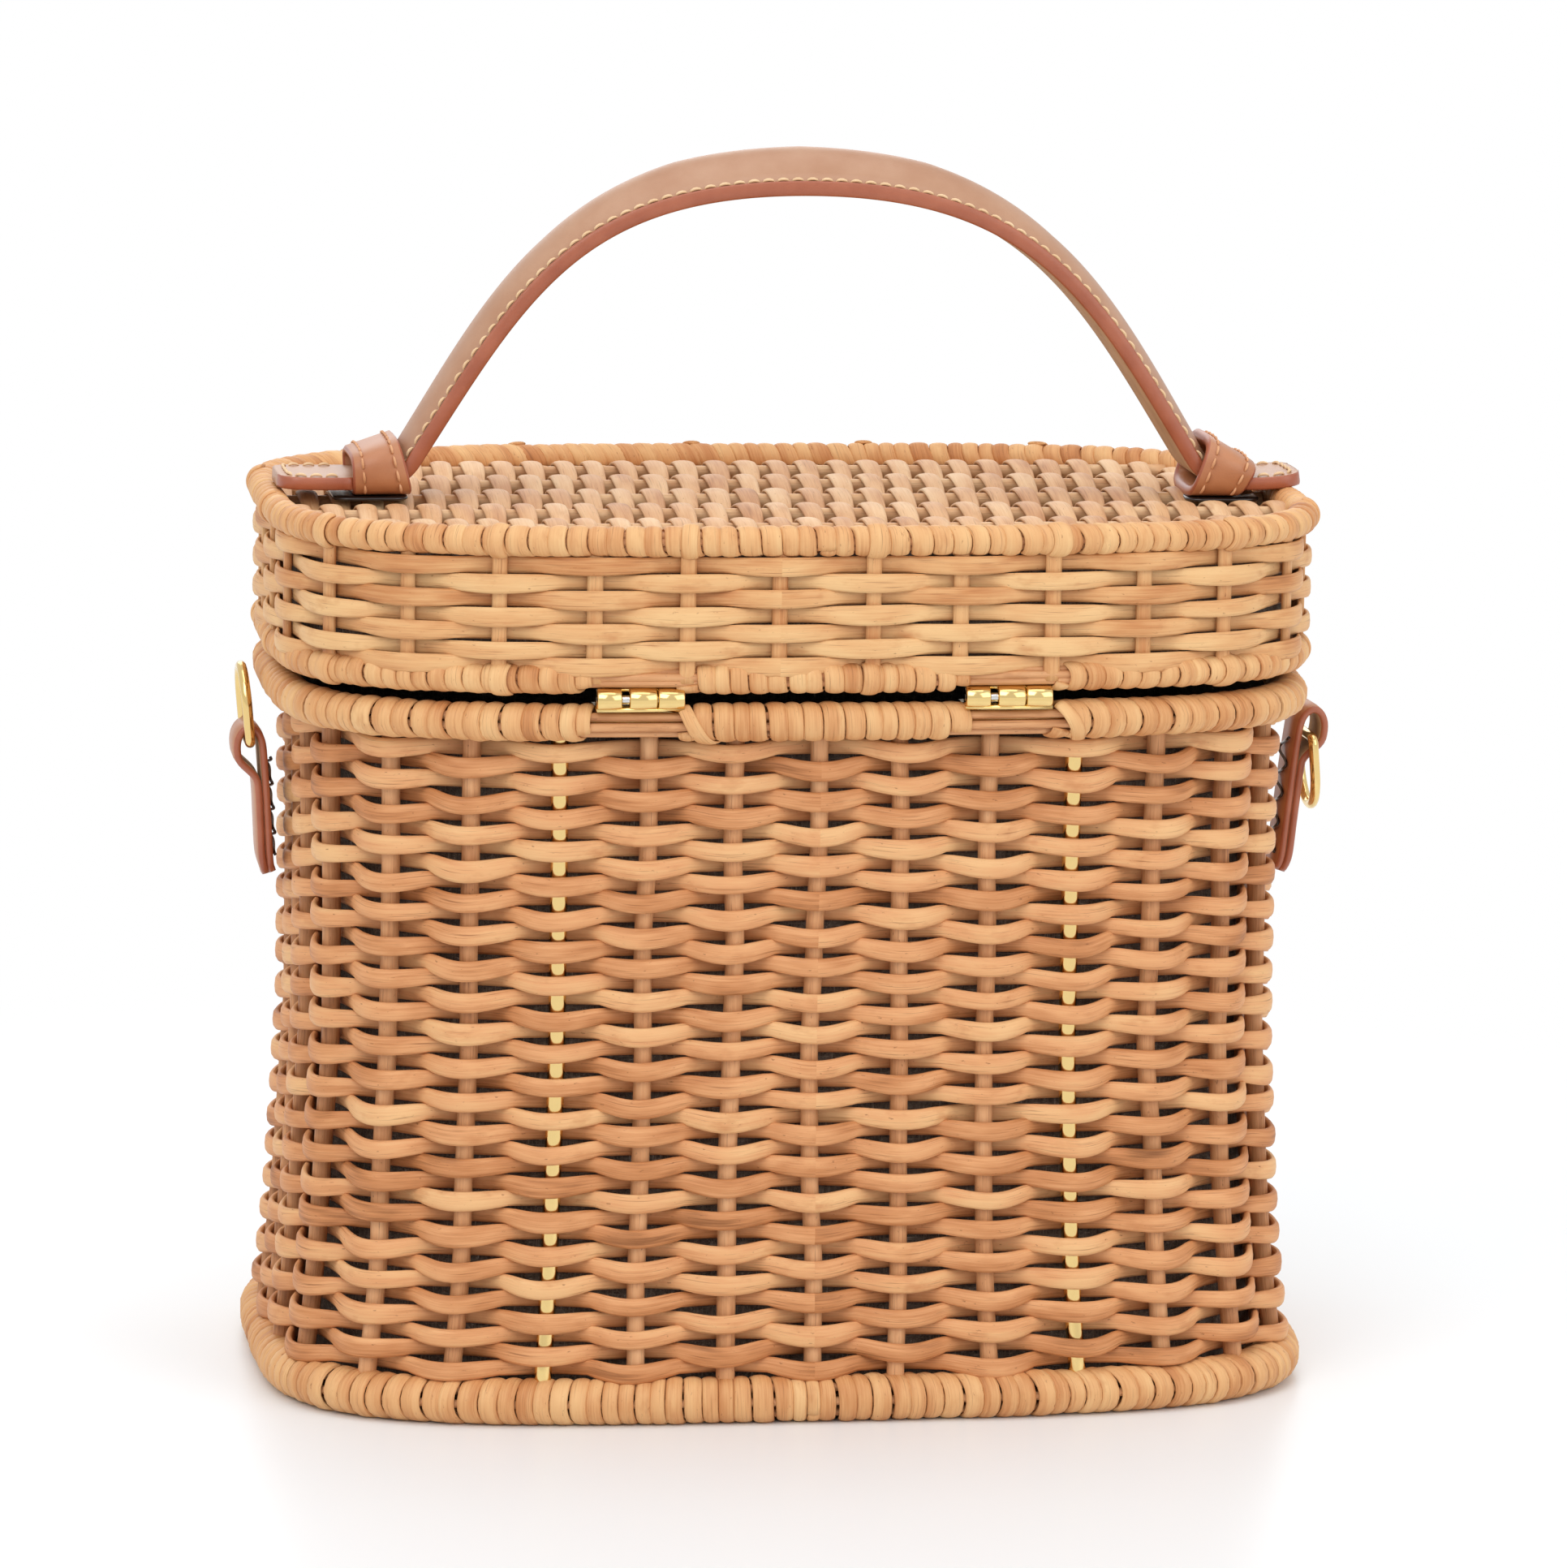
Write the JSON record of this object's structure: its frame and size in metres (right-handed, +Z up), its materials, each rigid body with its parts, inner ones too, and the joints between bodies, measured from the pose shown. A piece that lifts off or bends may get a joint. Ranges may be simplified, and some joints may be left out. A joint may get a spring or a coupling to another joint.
{
  "type": "wicker picnic basket",
  "caption": "Rounded rectangular wicker basket with a waisted woven body, a deep lid on brass hinges, a leather strap handle, side D-rings and a magnetic front tab.",
  "frame": {"origin": "centre of the footprint on the ground", "axes": "+Z up, -Y towards the closure at the front, +Y towards the hinges, +X to the right seen from the front"},
  "size_m": [0.2818, 0.1703, 0.312],
  "materials": {
    "weave": "satin",
    "binding": "satin",
    "leather": "satin",
    "leather_edge": "satin",
    "backing": "satin",
    "brass": "polished",
    "steel": "satin",
    "lining": "matte"
  },
  "bodies": {
    "basket": {"base_panel": "weave", "base_rim": "binding", "side_wall": "weave", "body_rim": "binding", "body_hoop": "brass", "body_lining": "lining", "frame_rod_front_left": "brass", "frame_rod_front_right": "brass", "frame_rod_back_left": "brass", "frame_rod_back_right": "brass", "hinge_body_leaf_left": "brass", "hinge_body_leaf_right": "brass", "hinge_pin_left": "brass", "hinge_pin_right": "brass", "side_tab_left": "leather_edge", "side_tab_right": "leather_edge", "side_tab_backing_left": "backing", "side_tab_backing_right": "backing", "snap_pad": "leather", "snap_base": "steel"},
    "lid": {"lid_wall": "weave", "lid_top_panel": "weave", "lid_top_rim": "binding", "lid_skirt_rim": "binding", "lid_top_hoop": "brass", "lid_skirt_hoop": "brass", "lid_lining": "lining", "hinge_lid_leaf_left": "brass", "hinge_lid_leaf_right": "brass", "handle_end_left": "leather_edge", "handle_end_right": "leather_edge", "handle_keeper_left": "leather", "handle_keeper_right": "leather", "keeper_pad_left": "backing", "keeper_pad_right": "backing", "keeper_plate_left": "steel", "keeper_plate_right": "steel", "keeper_rivet_left": "brass", "keeper_rivet_right": "brass", "closure_anchor": "leather", "closure_rivet": "brass"},
    "handle": {"handle_strap": "leather"},
    "closure": {"closure_tab": "leather", "closure_magnet": "steel"},
    "ring_left": {"d_ring_left": "brass"},
    "ring_right": {"d_ring_right": "brass"}
  },
  "joints": [
    {"name": "lid_hinge", "type": "hinge", "parent": "basket", "child": "lid", "pos_m": [0, 0.079, 0.182], "axis": [-1, 0, 0], "range_deg": [0, 105]},
    {"name": "handle_lean", "type": "hinge", "parent": "lid", "child": "handle", "pos_m": [-0.004, 0, 0.231], "axis": [1, 0, 0], "range_deg": [-45, 45], "stiffness_Nm_per_rad": 0.2},
    {"name": "closure_lift", "type": "hinge", "parent": "lid", "child": "closure", "pos_m": [0, -0.0846, 0.1988], "axis": [-1, 0, 0], "range_deg": [0, 120]},
    {"name": "ring_left_swing", "type": "hinge", "parent": "basket", "child": "ring_left", "pos_m": [-0.13815, 0, 0.15947], "axis": [0, 1, 0], "range_deg": [-2, 170]},
    {"name": "ring_right_swing", "type": "hinge", "parent": "basket", "child": "ring_right", "pos_m": [0.13484, 0, 0.16035], "axis": [0, 1, 0], "range_deg": [-8, 168]}
  ]
}
